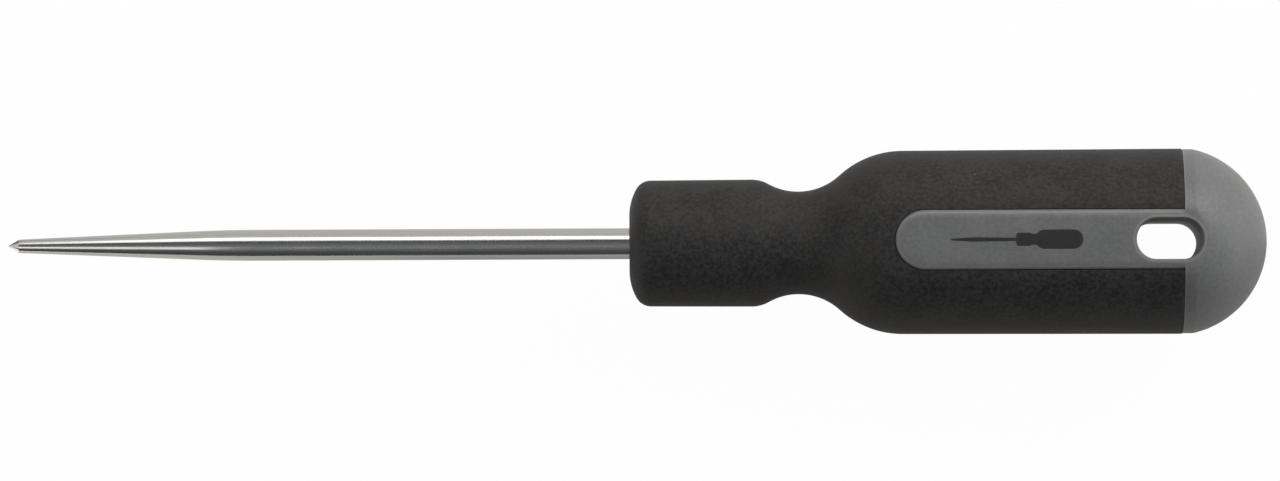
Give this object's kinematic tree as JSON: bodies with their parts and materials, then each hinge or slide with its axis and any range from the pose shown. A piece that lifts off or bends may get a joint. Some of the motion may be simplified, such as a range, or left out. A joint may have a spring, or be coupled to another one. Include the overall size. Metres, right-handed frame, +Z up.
{
  "type": "awl",
  "caption": "Hand awl with a round tapered steel blade, a two-material handle with raised grey panels, and a hang slot in the domed end.",
  "frame": {"origin": "centre of the awl's footprint, in the plane of the back panel's flat face that it is laid on", "axes": "+X along the blade's axis towards the domed end, +Y across the handle, +Z up out of the front panel"},
  "size_m": [0.2026, 0.0298, 0.0287],
  "materials": {
    "steel": "polished",
    "core_plastic": "matte",
    "grey_plastic": "satin",
    "rubber": "matte"
  },
  "bodies": {
    "root": {"blade": "steel", "tang_core": "core_plastic", "handle_body": "grey_plastic", "rubber_grip": "rubber"}
  },
  "joints": []
}
